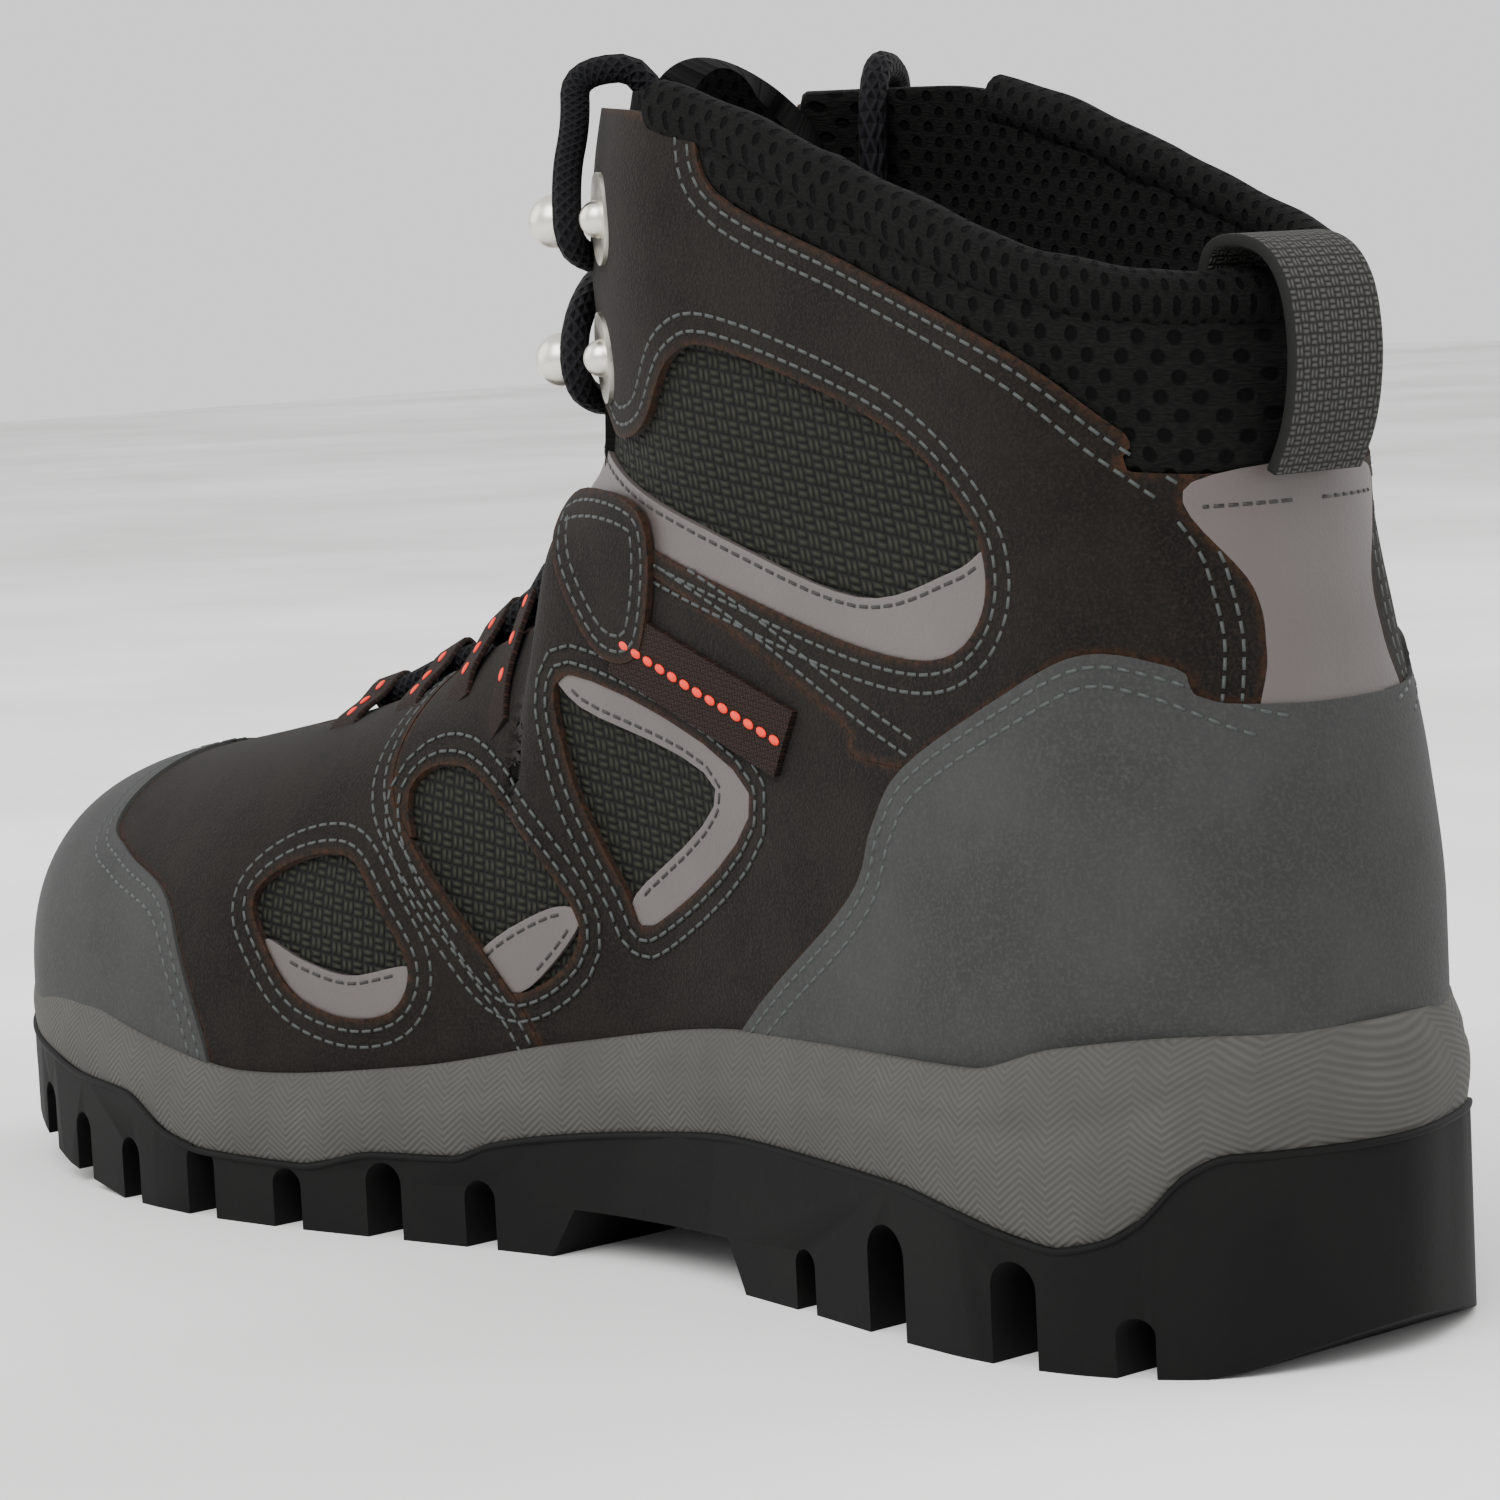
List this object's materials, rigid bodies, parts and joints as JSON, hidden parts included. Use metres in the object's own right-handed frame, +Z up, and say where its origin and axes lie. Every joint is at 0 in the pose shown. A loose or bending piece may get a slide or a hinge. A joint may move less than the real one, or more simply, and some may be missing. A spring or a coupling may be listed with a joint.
{
  "type": "hiking boot",
  "caption": "Mid-height lace-up hiking boot, right foot, with a lugged rubber sole, suede and mesh upper, padded collar, tongue, hooks and heel pull loop.",
  "frame": {"origin": "on the ground under the middle of the boot's bounding box", "axes": "+X from heel to toe, +Y towards the inner (medial) side of this right boot, +Z up"},
  "size_m": [0.3111, 0.1071, 0.1913],
  "materials": {
    "outsole_rubber": "moulded matt rubber",
    "midsole_foam": "moulded foam with a fine herringbone grain",
    "shank_steel": "rolled",
    "board": "pressed fibre board",
    "footbed_foam": "fabric-covered foam",
    "lining_mesh": "perforated knit",
    "woven_textile": "basket weave",
    "cap_nubuck": "sanded nubuck",
    "trim_synthetic": "smooth synthetic leather",
    "suede": "brushed suede",
    "collar_mesh": "air mesh over foam",
    "brown_webbing": "woven tape",
    "lace_tip": "moulded",
    "lace_cord": "braided",
    "grey_webbing": "ribbed tape",
    "steel": "nickel plated"
  },
  "bodies": {
    "boot": {"collar_roll": "collar_mesh", "heel_cap": "cap_nubuck", "heel_counter": "board", "heel_patch": "trim_synthetic", "hook_rivets": "steel", "hook_washers": "steel", "lace": "lace_cord", "lace_tips": "lace_tip", "lasting_board": "board", "lateral_ankle_suede": "suede", "lateral_collar_foam": "footbed_foam", "lateral_collar_pad": "collar_mesh", "lateral_forefoot_suede": "suede", "lateral_lace_loop_1": "brown_webbing", "lateral_lace_loop_2": "brown_webbing", "lateral_lace_loop_3": "brown_webbing", "lateral_lace_loop_4": "brown_webbing", "lateral_lower_hook": "steel", "lateral_quarter_suede": "suede", "lateral_strap": "brown_webbing", "lateral_upper_hook": "steel", "lateral_window_trim_1": "trim_synthetic", "lateral_window_trim_2": "trim_synthetic", "lateral_window_trim_3": "trim_synthetic", "lateral_window_trim_4": "trim_synthetic", "lining": "lining_mesh", "medial_ankle_suede": "suede", "medial_collar_foam": "footbed_foam", "medial_collar_pad": "collar_mesh", "medial_forefoot_suede": "suede", "medial_lace_loop_1": "brown_webbing", "medial_lace_loop_2": "brown_webbing", "medial_lace_loop_3": "brown_webbing", "medial_lace_loop_4": "brown_webbing", "medial_lower_hook": "steel", "medial_quarter_suede": "suede", "medial_strap": "brown_webbing", "medial_upper_hook": "steel", "medial_window_trim_1": "trim_synthetic", "medial_window_trim_2": "trim_synthetic", "medial_window_trim_3": "trim_synthetic", "medial_window_trim_4": "trim_synthetic", "midsole": "midsole_foam", "outsole": "outsole_rubber", "pull_tab": "grey_webbing", "shank": "shank_steel", "toe_cap": "cap_nubuck", "toe_puff": "board", "woven_underlay": "woven_textile"},
    "tongue": {"tongue_face": "woven_textile", "tongue_pad": "lining_mesh"},
    "insole": {"footbed": "footbed_foam"}
  },
  "joints": [
    {"name": "tongue_bend", "type": "hinge", "parent": "boot", "child": "tongue", "pos_m": [0.0845, 0.0025, 0.069], "axis": [0, -1, 0], "range_deg": [0, 10]},
    {"name": "footbed_lift", "type": "hinge", "parent": "boot", "child": "insole", "pos_m": [0.1465, 0.0025, 0.032], "axis": [0, 1, 0], "range_deg": [0, 5]}
  ]
}
